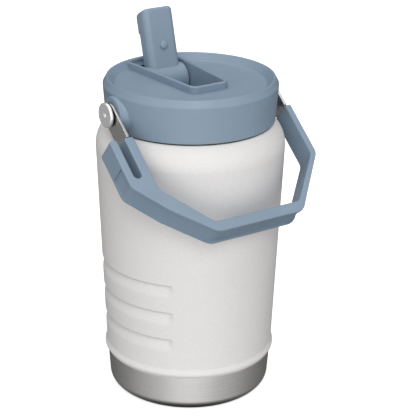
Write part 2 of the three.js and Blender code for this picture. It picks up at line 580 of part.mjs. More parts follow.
for (const [side, name] of [[-1, 'left'], [1, 'right']]) {
  add(`strap_${name}`, strap(side), STEEL, 0.3, 1);
  add(`strap_pin_${name}`, strapPin(side), STEEL, 0.3, 1);
}
add('handle_body', handleBody(), BLUE, 0.6);

export default jug;
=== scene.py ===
# %% [markdown]
# # A large steel water jug
# This lesson builds the looks of an insulated jug around a finished frame. The frame holds
# every part at its real size and place, and says which parts move together. Blender adds
# the fine surfaces: soft mould edges, pressed grooves, brushed steel and a powder coat.
# Everything is in metres, with +Z up and the front towards -Y.

# %% Load the frame
import json
import math

import bpy
from mathutils import Matrix, Vector


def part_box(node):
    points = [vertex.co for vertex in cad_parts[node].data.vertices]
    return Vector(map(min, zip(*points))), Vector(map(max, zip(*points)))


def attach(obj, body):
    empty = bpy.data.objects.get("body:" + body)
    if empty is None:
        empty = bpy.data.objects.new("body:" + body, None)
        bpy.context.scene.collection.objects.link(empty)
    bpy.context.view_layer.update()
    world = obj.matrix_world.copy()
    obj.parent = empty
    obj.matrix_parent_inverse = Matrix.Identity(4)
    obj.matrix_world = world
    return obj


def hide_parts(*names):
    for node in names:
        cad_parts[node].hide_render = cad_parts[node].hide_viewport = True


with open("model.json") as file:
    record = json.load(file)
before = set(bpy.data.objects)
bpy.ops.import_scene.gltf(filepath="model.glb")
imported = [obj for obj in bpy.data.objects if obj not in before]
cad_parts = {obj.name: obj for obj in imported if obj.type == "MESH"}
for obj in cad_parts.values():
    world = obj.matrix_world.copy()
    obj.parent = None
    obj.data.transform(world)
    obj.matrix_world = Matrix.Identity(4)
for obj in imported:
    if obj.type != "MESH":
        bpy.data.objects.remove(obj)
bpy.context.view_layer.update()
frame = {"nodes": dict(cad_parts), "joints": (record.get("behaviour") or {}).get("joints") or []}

# %% [markdown]
# ## Measures taken from the frame
# A new surface fits only if it starts from the same numbers as the part it stands for.
# Most of them can be read off a part's box: its widest point, its top and its bottom. What
# a box can't tell, such as where a taper begins, is written here once, in millimetres.

# %% Measures
MM = 0.001


def span(node, axis):
    """Lowest and highest value of a node along one axis, in millimetres."""
    low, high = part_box(node)
    return low[axis] / MM, high[axis] / MM


X, Y, Z = 0, 1, 2
SHELL_FOOT, SHELL_TOP = span("outer_shell", Z)
SHELL_WIDE = span("outer_shell", X)[1]
BASE_WIDE = span("base_cup", X)[1]
BASE_TOP = span("base_cup", Z)[1]
LID_CREST = span("lid_cap", Z)[1]
LID_WIDE = span("lid_cap", Y)[1]
BOSS_FACE = span("lid_cap", X)[1]
HEAD_OUT = span("pivot_screw_right", X)[1]
PIVOT_Z = sum(span("pivot_screw_right", Z)) / 2
STRAP_IN, STRAP_OUT = span("strap_right", X)
joints = {joint["name"]: joint for joint in frame["joints"]}
BARREL_Y, BARREL_Z = (value / MM for value in joints["spout_fold"]["pos_m"][1:])
BAIL_ANGLE = math.radians(50)
SPOUT_LEAN = math.radians(15)
print("shell", round(SHELL_WIDE, 1), "lid", round(LID_WIDE, 1), "pivot height", round(PIVOT_Z, 1))

# %% [markdown]
# ## Drawing tools
# Nearly every part of a bottle is either turned, like a pot on a wheel, or cut from a flat
# outline. Both begin as a line. Here the line is drawn as one would by hand: a plane is
# merged to a single vertex, and the vertex is extruded from point to point. Spin turns the
# line into a round part, and Fill with Extrude makes a slab of it. Everything is deselected
# first, because an operator acts on all that is selected.

# %% Helpers for drawing a line
def deselect():
    if bpy.context.mode != "OBJECT":
        bpy.ops.object.mode_set(mode="OBJECT")
    bpy.ops.object.select_all(action="DESELECT")


def draw_line(name, points):
    """A chain of edges through points in metres, left open in edit mode and all selected."""
    deselect()
    bpy.ops.mesh.primitive_plane_add(size=MM)
    piece = bpy.context.object
    piece.name = name
    bpy.ops.object.mode_set(mode="EDIT")
    bpy.ops.mesh.select_mode(type="VERT")
    bpy.ops.mesh.merge(type="CENTER")
    bpy.ops.transform.translate(value=points[0])
    for before, after in zip(points, points[1:]):
        step = Vector(after) - Vector(before)
        bpy.ops.mesh.extrude_region_move(TRANSFORM_OT_translate={"value": step})
    bpy.ops.mesh.select_all(action="SELECT")
    return piece


def arc(u, v, radius, start, end, steps):
    """Points of an arc, with its angles in degrees and both ends included."""
    angles = [math.radians(start + (end - start) * i / steps) for i in range(steps + 1)]
    return [(u + radius * math.cos(a), v + radius * math.sin(a)) for a in angles]


def rounded(corners, steps=6, closed=True):
    """An outline of (u, v, radius) corners with the corners rounded off."""
    points = []
    last = len(corners) - 1
    for i, (u, v, radius) in enumerate(corners):
        if radius == 0 or (not closed and i in (0, last)):
            points.append((u, v))
            continue
        here = Vector((u, v))
        back = (Vector(corners[i - 1][:2]) - here).normalized()
        on = (Vector(corners[(i + 1) % len(corners)][:2]) - here).normalized()
        half = back.angle(on) / 2
        centre = here + (back + on).normalized() * radius / math.sin(half)
        first = here + back * radius / math.tan(half) - centre
        final = here + on * radius / math.tan(half) - centre
        start = math.degrees(math.atan2(first.y, first.x))
        turn = (math.degrees(math.atan2(final.y, final.x)) - start + 180) % 360 - 180
        points += arc(centre.x, centre.y, radius, start, start + turn, steps)
    return points


# %% Helpers for turned parts and slabs
def finish_shape(piece):
    """Closes the seams, turns the faces outwards and goes back to object mode."""
    bpy.ops.mesh.select_all(action="SELECT")
    bpy.ops.mesh.remove_doubles(threshold=0.002 * MM)
    bpy.ops.mesh.normals_make_consistent(inside=False)
    bpy.ops.object.mode_set(mode="OBJECT")
    return piece


def turn_upright(name, profile, steps=192, close=True):
    """Turns a profile of (radius, height) millimetres round the bottle's own axis."""
    loop = profile + profile[:1] if close else profile
    piece = draw_line(name, [(r * MM, 0, z * MM) for r, z in loop])
    bpy.ops.mesh.spin(steps=steps, angle=2 * math.pi, center=(0, 0, 0), axis=(0, 0, 1))
    return finish_shape(piece)


def turn_about(name, profile, centre, axis, steps=64, close=False):
    """Turns a profile of (radius, height) millimetres round an axis through a point."""
    axis = Vector(axis).normalized()
    across = axis.orthogonal().normalized()
    centre = Vector(centre) * MM
    loop = profile + profile[:1] if close else profile
    piece = draw_line(name, [centre + (across * r + axis * h) * MM for r, h in loop])
    bpy.ops.mesh.spin(steps=steps, angle=2 * math.pi, center=centre, axis=axis)
    return finish_shape(piece)


def slab(name, outline, place, push):
    """Fills an outline, placed in space by place(u, v), and extrudes it along push."""
    piece = draw_line(name, [place(u, v) for u, v in outline])
    bpy.ops.mesh.edge_face_add()
    bpy.ops.mesh.extrude_region_move(TRANSFORM_OT_translate={"value": push})
    return finish_shape(piece)


# %% Helpers for joining, cutting and rounding
def only(piece):
    deselect()
    piece.select_set(True)
    bpy.context.view_layer.objects.active = piece


def combine(piece, other, how):
    """Applies a Boolean modifier: UNION, DIFFERENCE or INTERSECT. The other piece is used up."""
    only(piece)
    bpy.ops.object.modifier_add(type="BOOLEAN")
    cut = piece.modifiers[-1]
    cut.operation = how
    cut.solver = "EXACT"
    cut.object = other
    bpy.ops.object.modifier_apply(modifier=cut.name)
    bpy.data.objects.remove(other)
    return piece


def round_edges(piece, width, wanted, segments=4, clamp=True):
    """Bevels the sharp edges for which wanted(middle) is true. Middles are in metres."""
    only(piece)
    bpy.ops.object.mode_set(mode="EDIT")
    bpy.ops.mesh.select_mode(type="EDGE")
    bpy.ops.mesh.select_all(action="DESELECT")
    bpy.ops.mesh.edges_select_sharp(sharpness=math.radians(28))
    bpy.ops.object.mode_set(mode="OBJECT")
    mesh = piece.data
    count = 0
    for edge in mesh.edges:
        if edge.select:
            a, b = (mesh.vertices[i].co for i in edge.vertices)
            edge.select = bool(wanted((a + b) / 2))
            count += edge.select
    bpy.ops.object.mode_set(mode="EDIT")
    if count:
        bpy.ops.mesh.bevel(offset=width * MM, segments=segments, profile=0.5, clamp_overlap=clamp)
    finish_shape(piece)
    return count


def smooth(piece, angle=35):
    only(piece)
    bpy.ops.object.shade_smooth_by_angle(angle=math.radians(angle))
    bpy.ops.object.modifier_add(type="WEIGHTED_NORMAL")
    soften = piece.modifiers[-1]
    soften.keep_sharp = True
    bpy.ops.object.modifier_apply(modifier=soften.name)
    return piece


slots = {}


def settle(piece, body, slot, *nodes):
    """Puts a finished piece on its body, in place of the nodes that it stands for."""
    only(piece)
    bpy.ops.object.transform_apply(location=True, rotation=True, scale=True)
    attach(piece, body)
    slots[piece.name] = slot
    if nodes:
        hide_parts(*nodes)
    print(piece.name, len(piece.data.polygons), "faces on", body)
    return piece


# %% [markdown]
# ## The painted shell
# The shell is drawn from sheet steel: a bead rolled at its foot, a long taper and a round
# shoulder. It is turned from one closed profile. Rows of points are laid close together
# where the three grip grooves will be pressed, because a groove can only be as crisp as the
# rows that carry it.

# %% Shell profile
WALL = 2.0
TAPER_FOOT = (59.3, 34.6)
TAPER_TOP = (SHELL_WIDE, 180.0)
SHOULDER = 22.0
NECK_HOLE = 51.4
GRIPS = [96.5, 75.9, 55.3]
GRIP_DEPTH = 1.8
GRIP_RISE = 2.2
GRIP_FALL = 8.5
GRIP_SPREAD = 45.0


def taper(z):
    share = (z - TAPER_FOOT[1]) / (TAPER_TOP[1] - TAPER_FOOT[1])
    return TAPER_FOOT[0] + share * (TAPER_TOP[0] - TAPER_FOOT[0])


def grip_rows():
    """Height of each row of points in the grooves, and how deep the groove is there."""
    rows = []
    for height in GRIPS[::-1]:
        for i in range(10):
            share = i / 10
            rows.append((height - GRIP_FALL * (1 - share), 0.5 - 0.5 * math.cos(math.pi * share)))
        for i in range(6):
            share = i / 5
            rows.append((height + GRIP_RISE * share, 0.5 + 0.5 * math.cos(math.pi * share)))
    return rows


bead = rounded([(BASE_WIDE - 0.4, SHELL_FOOT, 0), (59.2, SHELL_FOOT, 0.6), (60.9, 30.2, 2.6),
                (TAPER_FOOT[0], 33.6, 2.0), (TAPER_FOOT[0] + 0.05, TAPER_FOOT[1], 0)], 5, closed=False)
shoulder_end = math.degrees(math.asin((SHELL_TOP - TAPER_TOP[1]) / SHOULDER))
shoulder = arc(SHELL_WIDE - SHOULDER, TAPER_TOP[1], SHOULDER, 0, shoulder_end, 16)
SUNK = SHELL_TOP - 0.9
sunk = [(shoulder[-1][0] - 0.5, SHELL_TOP), (shoulder[-1][0] - 0.9, SUNK), (NECK_HOLE, SUNK)]
outside = bead + [(taper(z), z) for z, _ in grip_rows()] + shoulder + sunk
inside = [(NECK_HOLE, SUNK - 0.8), (shoulder[-1][0] - 1.6, SUNK - 0.8)]
inside += arc(SHELL_WIDE - SHOULDER, TAPER_TOP[1], SHOULDER - WALL, shoulder_end - 6, 0, 8)
inside += [(TAPER_FOOT[0] - WALL, TAPER_FOOT[1]), (BASE_WIDE - 1.2, SHELL_FOOT + 2.0)]
SHELL_STEPS = 288
shell = turn_upright("painted_shell", outside + inside, steps=SHELL_STEPS)
print("the shell has", len(shell.data.vertices), "points")

# %% [markdown]
# ## Pressing the grip grooves
# On the real shell a die presses three grooves into a quarter of the wall. The same can be
# done with Resize: a row of points is selected over that quarter and pulled towards the
# axis. Three passes, each a little narrower, leave the squared but soft ends of a pressing.

# %% Grip grooves
PASSES = [(GRIP_SPREAD, 0.25), (GRIP_SPREAD - 1.2, 0.5), (GRIP_SPREAD - 2.4, 0.25)]
rows = [(z, depth) for z, depth in grip_rows() if depth > 0.001]
places = {}
for vertex in shell.data.vertices:
    x, y, z = vertex.co / MM
    if math.hypot(x, y) > taper(z) - 0.5 * WALL and x < 0:
        angle = abs(math.degrees(math.atan2(y, -x)))
        places.setdefault(round(z, 2), []).append((vertex.index, angle))
for z, depth in rows:
    for spread, share in PASSES:
        only(shell)
        bpy.ops.object.mode_set(mode="EDIT")
        bpy.ops.mesh.select_mode(type="VERT")
        bpy.ops.mesh.select_all(action="DESELECT")
        bpy.ops.object.mode_set(mode="OBJECT")
        for index, angle in places[round(z, 2)]:
            shell.data.vertices[index].select = angle <= spread
        bpy.ops.object.mode_set(mode="EDIT")
        pull = 1 - GRIP_DEPTH * depth * share / taper(z)
        bpy.ops.transform.resize(value=(pull, pull, 1), center_override=(0, 0, z * MM))
finish_shape(shell)
smooth(shell, 50)
settle(shell, "bottle", "stone_coating", "outer_shell")
print(len(rows), "rows of points pressed in", len(GRIPS), "grooves")

# %% [markdown]
# ## The bare steel base
# Below the bead the jug stands on a cup of bare brushed steel with a softly rounded heel.
# It could be a cylinder with its lower edge bevelled, but the heel is a quarter of a circle
# and the foot has a shallow ring in it, so one turned profile gives both.

# %% Base cup
HEEL = 8.5
BASE_LOW = 57.2
BASE_SHEET = 0.8
FOOT_RING = [(36.0, 0), (36.5, 0.35), (37.0, 0.5), (38.0, 0.5), (38.5, 0.35), (39.0, 0)]
base_line = [(0, 0)] + FOOT_RING + [(BASE_WIDE - 10.1, 0)]
base_line += arc(BASE_LOW - HEEL, HEEL, HEEL, -84, 0, 14)
top_edge = [(BASE_LOW, HEEL, 0), (BASE_WIDE, BASE_TOP, 0.4), (BASE_WIDE - BASE_SHEET, BASE_TOP, 0)]
base_line += rounded(top_edge, 4, closed=False)[1:]
base_line += arc(BASE_LOW - HEEL, HEEL, HEEL - BASE_SHEET, 0, -90, 10) + [(0, BASE_SHEET)]
base = turn_upright("steel_base", base_line, close=False)
smooth(base, 50)
settle(base, "bottle", "brushed_steel", "base_cup")

# %% [markdown]
# ## The lid
# The lid is moulded in one piece: a tapering wall, a wide chamfer, a rim and a sunk floor.
# Its round part is turned. The two pivot bosses flare out of the wall, so their profile is
# a hollow curve turned about the pivot line. The channel round the spout is drawn as an
# outline, hollowed, rounded along its top and only then joined, because an edge is easy to
# round before a Boolean and hard to round after it.

# %% Lid body
LID_FOOT = 198.0
LID_EDGE = 223.2
LID_FLOOR = 222.8
LID_WALL = 2.4
LID_FOOT_WIDE = 58
PIT_FLOOR = 206.0
lid_line = rounded([
    (LID_FOOT_WIDE - LID_WALL, LID_FOOT, 0.5), (LID_FOOT_WIDE, LID_FOOT, 0.9),
    (LID_WIDE, LID_EDGE, 1.6), (57.5, LID_CREST, 0.7),
    (56.5, LID_CREST, 1.0), (51.6, LID_FLOOR, 2.6), (40, LID_FLOOR, 0)], 6, closed=False)
lid_line += [(0, LID_FLOOR), (0, LID_FLOOR - LID_WALL), (LID_WIDE - LID_WALL - 1.2, LID_FLOOR - LID_WALL)]
lid = turn_upright("lid_shell", lid_line)

# %% Pivot bosses
BOSS_FOOT, BOSS_NECK = 17.0, 11.5
BOSS_ROOT, FLARE_END, FLARE_RISE = 56.4, 61.7, 5.1
TRIM_WIDE, TRIM_TOP = 80, 240
quarter = [math.radians(90 * i / 12) for i in range(13)]
trim_line = [(0, LID_FOOT + 0.1), (TRIM_WIDE, LID_FOOT + 0.1), (TRIM_WIDE, TRIM_TOP), (0, TRIM_TOP)]
for side in (-1, 1):
    flare = [(0, BOSS_ROOT), (BOSS_FOOT, BOSS_ROOT)]
    flare += [(BOSS_FOOT - (BOSS_FOOT - BOSS_NECK) * math.sin(t), FLARE_END - FLARE_RISE * math.cos(t))
              for t in quarter]
    neck = [(BOSS_NECK, FLARE_END, 0), (BOSS_NECK, BOSS_FACE, 0.6), (0, BOSS_FACE, 0)]
    flare += rounded(neck, 4, closed=False)[1:]
    boss = turn_about("boss", flare, (0, 0, PIVOT_Z), (side, 0, 0), steps=96)
    trim = turn_upright("trim", trim_line, steps=32)
    combine(lid, combine(boss, trim, "INTERSECT"), "UNION")
print("the lid with its bosses has", len(lid.data.polygons), "faces")

# %% Channel round the spout
CHANNEL_FRONT = -25.0


def channel_half(y):
    return 15.2 + (y + 20) * 4.3 / 65


def channel_outline(inset, back):
    """A U that widens towards the back. back is a radius, which the U's last stretch follows."""
    front = CHANNEL_FRONT + inset
    half_front = channel_half(front) - inset
    half_back = channel_half(50) - inset
    reach = math.degrees(math.asin(half_back / back))
    corner = 5.5 - 0.7 * inset
    u_shape = rounded([(-half_back, 30, 0), (-half_front, front, corner), (half_front, front, corner),
                       (half_back, 30, 0)], 6, closed=False)
    return u_shape[1:-1] + arc(0, 0, back, 90 - reach, 90 + reach, 16)


def flat_at(z):
    return lambda x, y: (x * MM, y * MM, z * MM)


PIT_BACK = 54.0
UPPER = 213.3
well = slab("well", channel_outline(0, 56.9), flat_at(UPPER), (0, 0, (LID_CREST - 0.1 - UPPER) * MM))
hollow = slab("hollow", channel_outline(LID_WALL, PIT_BACK), flat_at(UPPER - 1), (0, 0, 20 * MM))
combine(well, hollow, "DIFFERENCE")
print(round_edges(well, 1.0, lambda p: p.z > (LID_CREST - 0.3) * MM, 5), "edges of the channel rounded")
clearance = slab("clearance", channel_outline(1.2, 55.6), flat_at(UPPER), (0, 0, 10 * MM))
combine(lid, clearance, "DIFFERENCE")
combine(lid, well, "UNION")

# %% [markdown]
# ## The pit under the spout
# Below the channel the floor drops to a pit, where the folded spout lies, and behind it a
# round pocket takes the spout's barrel. The block round them is joined on first, solid, and
# then hollowed in one go, so that its walls run on from the channel's without a step.

# %% Pit and barrel pocket
PIT_BASE = 202.6
deep_rise = UPPER + 0.7 - PIT_BASE
shelf_rise = BARREL_Z - UPPER - 0.2
deep = slab("deep", channel_outline(0.2, 47.6), flat_at(PIT_BASE), (0, 0, deep_rise * MM))
shelf = slab("shelf", channel_outline(0.25, 55.2), flat_at(UPPER + 0.2), (0, 0, shelf_rise * MM))
combine(lid, deep, "UNION")
combine(lid, shelf, "UNION")
half_front = channel_half(CHANNEL_FRONT + LID_WALL) - LID_WALL
half_back = channel_half(BARREL_Y) - LID_WALL
pit_line = rounded([(-half_back, BARREL_Y, 0), (-half_front, CHANNEL_FRONT + LID_WALL, 3.8),
                    (half_front, CHANNEL_FRONT + LID_WALL, 3.8), (half_back, BARREL_Y, 0)], 6)
# A Boolean goes wrong on walls that lie exactly in one plane, so the pit is a hair narrower.
HAIR = 0.998
pit = slab("pit", [(x * HAIR, y) for x, y in pit_line], flat_at(PIT_FLOOR), (0, 0, 15 * MM))
combine(lid, pit, "DIFFERENCE")
POCKET, POCKET_RADIUS = 15.4, 10.9
pocket_line = [(0, -POCKET), (POCKET_RADIUS, -POCKET), (POCKET_RADIUS, POCKET), (0, POCKET)]
pocket = turn_about("pocket", pocket_line, (0, BARREL_Y, BARREL_Z), (1, 0, 0))
combine(lid, pocket, "DIFFERENCE")
HOLE_START, HOLE_END, HOLE_RADIUS = 57.8, 64, 3.5
hole_line = [(0, HOLE_START), (HOLE_RADIUS, HOLE_START), (HOLE_RADIUS, HOLE_END), (0, HOLE_END)]
for side in (-1, 1):
    hole = turn_about("hole", hole_line, (0, 0, PIVOT_Z), (side, 0, 0), 32)
    combine(lid, hole, "DIFFERENCE")
smooth(lid, 32)
settle(lid, "lid", "blue_plastic", "lid_cap")

# %% [markdown]
# ## The spout
# The spout is a flattened tube on a round barrel. It is drawn upright from the barrel's axis
# and placed leaning back. Its tip is cut with Bisect, which fills the cut, and the loop left
# by the cut is bevelled until it is as round as a lip wants it.

# %% Spout stalk and lip
SPOUT_AXIS = Vector((0, math.sin(SPOUT_LEAN), math.cos(SPOUT_LEAN)))
SPOUT_BACK = Vector((0, math.cos(SPOUT_LEAN), -math.sin(SPOUT_LEAN)))
SPOUT_ROOT = Vector((0, BARREL_Y, BARREL_Z)) * MM
HALF_WIDE, HALF_DEEP, TIP = 12.1, 6.5, 50.9
LIP_FOOT, LIP_PROUD = 33.0, 1.4
SPOUT_CORNER, TIP_ROUND = 4.6, 3.0
TIP_SLOPE = math.radians(15)


def spout_at(height):
    return lambda x, y: SPOUT_ROOT + (Vector((x, 0, 0)) + SPOUT_BACK * y + SPOUT_AXIS * height) * MM


stalk_line = rounded([(-HALF_WIDE, -HALF_DEEP, SPOUT_CORNER), (HALF_WIDE, -HALF_DEEP, SPOUT_CORNER),
                      (HALF_WIDE, HALF_DEEP, SPOUT_CORNER), (-HALF_WIDE, HALF_DEEP, SPOUT_CORNER)], 10)
LIP_WIDE, LIP_BACK = HALF_WIDE - 0.02, HALF_DEEP + LIP_PROUD
lip_line = rounded([(-LIP_WIDE, 0, 0), (LIP_WIDE, 0, 0), (LIP_WIDE, LIP_BACK, SPOUT_CORNER),
                    (-LIP_WIDE, LIP_BACK, SPOUT_CORNER)], 10)
spout = slab("spout", stalk_line, spout_at(0), SPOUT_AXIS * (TIP + 3) * MM)
lip = slab("lip", lip_line, spout_at(LIP_FOOT), SPOUT_AXIS * (TIP + 2 - LIP_FOOT) * MM)


def up_spout(point):
    return (point - SPOUT_ROOT).dot(SPOUT_AXIS) / MM


def behind_spout(point):
    return (point - SPOUT_ROOT).dot(SPOUT_BACK) / MM


round_edges(lip, 1.1, lambda p: up_spout(p) < LIP_FOOT + 0.1 and behind_spout(p) > 0.1)
combine(spout, lip, "UNION")
only(spout)
bpy.ops.object.mode_set(mode="EDIT")
bpy.ops.mesh.select_all(action="SELECT")
cut_normal = SPOUT_AXIS * math.cos(TIP_SLOPE) + SPOUT_BACK * math.sin(TIP_SLOPE)
cut_point = spout_at(TIP)(0, -HALF_DEEP)
bpy.ops.mesh.bisect(plane_co=cut_point, plane_no=cut_normal, use_fill=True, clear_outer=True)
bpy.ops.object.mode_set(mode="OBJECT")
rounds = round_edges(spout, TIP_ROUND, lambda p: abs((p - cut_point).dot(cut_normal)) < 0.01 * MM, 8)
print(rounds, "edges rounded at the tip")

# %% Spout barrel, bore and folding pin
END = 15.0
PIN_END, PIN_RADIUS, BARREL_CORE = 17.4, 3, 9.5
barrel_line = [(0, -PIN_END), (PIN_RADIUS, -PIN_END), (PIN_RADIUS, -END)]
barrel_line += arc(BARREL_CORE, 1 - END, 1, -90, 0, 5) + arc(BARREL_CORE, END - 1, 1, 0, 90, 5)
barrel_line += [(PIN_RADIUS, END), (PIN_RADIUS, PIN_END), (0, PIN_END)]
barrel = turn_about("barrel", barrel_line, (0, BARREL_Y, BARREL_Z), (1, 0, 0), 96)
combine(spout, barrel, "UNION")
BORE_WIDE, BORE_DEEP, BORE_CORNER = 5, 2, 1.9
bore_line = rounded([(x, y, BORE_CORNER) for x, y in ((-BORE_WIDE, -BORE_DEEP), (BORE_WIDE, -BORE_DEEP),
                                                     (BORE_WIDE, BORE_DEEP), (-BORE_WIDE, BORE_DEEP))], 6)
combine(spout, slab("bore", bore_line, spout_at(2), SPOUT_AXIS * 60 * MM), "DIFFERENCE")


def at_bore(point):
    """True near the hole in the spout's tip."""
    near_hole = abs(point.x) < (BORE_WIDE + 0.2) * MM and abs(behind_spout(point)) < BORE_DEEP + 0.2
    return near_hole and up_spout(point) > TIP - 8


print(round_edges(spout, 0.5, at_bore), "edges rounded at the bore")
smooth(spout, 32)
settle(spout, "spout", "blue_plastic", "mouthpiece")

# %% [markdown]
# ## The vent plug
# A small soft nub closes the air vent while the spout is folded. It could be a sphere cut
# in half, but a turned profile gives it a stem as well, which sits in the spout's wall.

# %% Vent plug
NUB_UP, NUB_RADIUS, NUB_STEM = 24.0, 3.0, 1.9
DOME_FOOT, DOME_RISE = 0.4, 1.5
nub_line = [(0, -2.2), (NUB_STEM, -2.2), (NUB_STEM, 0.25), (NUB_RADIUS, 0.25)]
nub_line += [(NUB_RADIUS * math.cos(t), DOME_FOOT + DOME_RISE * math.sin(t))
             for t in (math.radians(10 * i) for i in range(1, 9))]
nub_line += [(0, DOME_FOOT + DOME_RISE)]
nub = turn_about("vent_nub", nub_line, spout_at(NUB_UP)(0, -HALF_DEEP) / MM, -SPOUT_BACK, 40)
smooth(nub, 40)
settle(nub, "spout", "blue_silicone", "vent_plug")

# %% [markdown]
# ## The carry bail
# The bail is moulded flat and hangs at an angle. It could be a curve given a thickness, but
# its corners are straight facets with small radii, so its outline is drawn and extruded to
# the full depth, straight along the bail's own tilt. Every edge is then bevelled. The
# second finger on the left arm makes it a hook as well.

# %% Bail outline
COS, SIN = math.cos(BAIL_ANGLE), math.sin(BAIL_ANGLE)
BAIL_FORWARD = Vector((0, -COS, SIN))
BAIL_TOP = 24.5


def bail_point(x, along, forward):
    return Vector((x, -along * SIN - forward * COS, PIVOT_Z - along * COS + forward * SIN)) * MM


def bail_at(forward):
    return lambda x, along: bail_point(x, along, forward)


def bail_beside(x):
    return lambda along, forward: bail_point(x, along, forward)


OUTER_CORNERS = [(66.6, 65, 8), (39, 97.8, 14), (33.5, 104.6, 10), (-34.5, 104.6, 10), (-61, 81.6, 12),
                 (-79.8, 60, 8)]
HOOK_CORNERS = [(-79.8, BAIL_TOP, 2.4), (-74.2, BAIL_TOP, 2.4), (-74.2, 55, 2.89), (-68.4, 55, 2.89),
                (-68.4, BAIL_TOP, 1.2)]
INNER_CORNERS = [(-61.7, BAIL_TOP, 1.2), (-61.7, 65, 7), (-34, 96.8, 6), (34, 96.8, 6), (61.7, 65, 7),
                 (61.7, BAIL_TOP, 1.2)]
bail_line = rounded([(66.6, BAIL_TOP, 1.2)] + OUTER_CORNERS + HOOK_CORNERS + INNER_CORNERS, 8)
BAIL_BACK, BAIL_DEPTH = -8.0, 18.0
bail = slab("carry_bail", bail_line, bail_at(BAIL_BACK), BAIL_FORWARD * BAIL_DEPTH * MM)
print(round_edges(bail, 0.9, lambda p: True, clamp=False), "edges of the bail rounded")

# %% [markdown]
# ## The panel round the outside of the bail
# A shallow panel is sunk into the bail's outer face, from one arm round the bar to the
# other, and leaves a thin rim. Its cutter is a band that follows the same outline, moved in
# by the panel's depth, and is narrower than the bail by a rim at each side.

# %% Sunk panel
PANEL_DEPTH = 1.2
PANEL_START = 45.0
RIM = 2.0
panel_corners = [(66.6, PANEL_START, 0)] + OUTER_CORNERS + [(-79.8, PANEL_START, 0)]
outer_line = rounded(panel_corners, 8, closed=False)


def moved_out(line, distance):
    """An open line moved sideways, to the left of the way it runs being inwards."""
    moved = []
    for i, (u, v) in enumerate(line):
        before, after = line[max(i - 1, 0)], line[min(i + 1, len(line) - 1)]
        way = (Vector(after) - Vector(before)).normalized()
        moved.append((u + way.y * distance, v - way.x * distance))
    return moved


band_line = moved_out(outer_line, -PANEL_DEPTH) + moved_out(outer_line, 5)[::-1]
band = slab("band", band_line, bail_at(BAIL_BACK + RIM), BAIL_FORWARD * (BAIL_DEPTH - 2 * RIM) * MM)
combine(bail, band, "DIFFERENCE")

# %% [markdown]
# ## Slots and clearance
# Each arm is slit for its steel strap, and the bail's inside is cut back where it hangs
# beside the shell's shoulder. The cutter is the shell's own profile, half a millimetre
# larger, so the gap stays even.

# %% Slots for the straps, and room for the shoulder
PLAY = 0.3
SLOT_END, SLOT_HALF = 42.3, 6.8
for side in (-1, 1):
    near, far = sorted((side * (STRAP_IN - PLAY), side * (STRAP_OUT + PLAY)))
    slot_line = [(near, BAIL_TOP - 3), (far, BAIL_TOP - 3), (far, SLOT_END), (near, SLOT_END)]
    slot = slab("slot", slot_line, bail_at(-SLOT_HALF), BAIL_FORWARD * 2 * SLOT_HALF * MM)
    combine(bail, slot, "DIFFERENCE")
ROOM = 0.5
ROOM_FOOT = 120
shoulder_cut = [(0, ROOM_FOOT), (taper(ROOM_FOOT) + ROOM, ROOM_FOOT)]
shoulder_cut += arc(SHELL_WIDE - SHOULDER, TAPER_TOP[1], SHOULDER + ROOM, 0, shoulder_end, 24)
shoulder_cut += [(0, SHELL_TOP)]
combine(bail, turn_upright("room", shoulder_cut, close=False), "DIFFERENCE")
smooth(bail, 30)
settle(bail, "bail", "blue_plastic", "handle_body")

# %% [markdown]
# ## Straps, washers and screws
# Two flat steel straps carry the bail. Each is stamped from strip, so its edges are only
# just broken. A black washer and a broad screw head hold it to the lid's boss. The head is
# turned, with a polished roll at its edge, and a hexagon socket is cut in its middle.

# %% Straps
STRAP_HALF, TONGUE_HALF, TONGUE_END = 8.0, 6.5, 42.0
strap_line = arc(0, 0, STRAP_HALF, 90, 270, 32) + rounded([
    (0, -STRAP_HALF, 0), (BAIL_TOP - 1.5, -STRAP_HALF, 1), (BAIL_TOP - 0.5, -TONGUE_HALF, 0),
    (TONGUE_END, -TONGUE_HALF, 2), (TONGUE_END, TONGUE_HALF, 2), (BAIL_TOP - 0.5, TONGUE_HALF, 0),
    (BAIL_TOP - 1.5, STRAP_HALF, 1), (0, STRAP_HALF, 0)], 4, closed=False)[1:-1]
thick = STRAP_OUT - STRAP_IN
for side, name in ((-1, "left"), (1, "right")):
    start = STRAP_IN if side > 0 else -STRAP_OUT
    strap = slab("strap_plate_" + name, strap_line, bail_beside(start), (thick * MM, 0, 0))
    round_edges(strap, 0.3, lambda p: True, 3)
    hole = turn_about("hole", [(0, 60), (3, 60), (3, 68), (0, 68)], (0, 0, PIVOT_Z), (side, 0, 0), 32)
    combine(strap, hole, "DIFFERENCE")
    smooth(strap, 32)
    settle(strap, "bail", "brushed_steel", "strap_" + name)

# %% Washers and screws
HEAD_RADIUS, HEAD_LOW, SOCKET = 8.5, 66.2, 1.8
SHANK, ROLL_EDGE = 1.6, 1.2
WASHER = [(1.9, 62.8), (2.7, 62.8), (2.7, 65.15), (7.6, 65.15), (7.8, 65.3), (7.8, 65.8),
          (7.6, 65.95), (1.9, 65.95)]
hexagon = arc(0, 0, SOCKET, 0, 300, 5)
head_line = [(0, 57.6), (SHANK, 57.6), (SHANK, HEAD_LOW), (HEAD_RADIUS - 0.3, HEAD_LOW),
             (HEAD_RADIUS, HEAD_LOW + 0.3)]
head_line += arc(HEAD_RADIUS - ROLL_EDGE, HEAD_OUT - ROLL_EDGE, ROLL_EDGE, 0, 80, 8)
head_line += [(6.9, HEAD_OUT - 0.08), (6.6, HEAD_OUT - 0.1), (0, HEAD_OUT - 0.1)]


def at_socket(point):
    """True at the socket's rim, on the outer face of a screw head."""
    across = math.hypot(point.y, point.z - PIVOT_Z * MM)
    return abs(point.x) > (HEAD_OUT - 0.15) * MM and across < 2 * MM


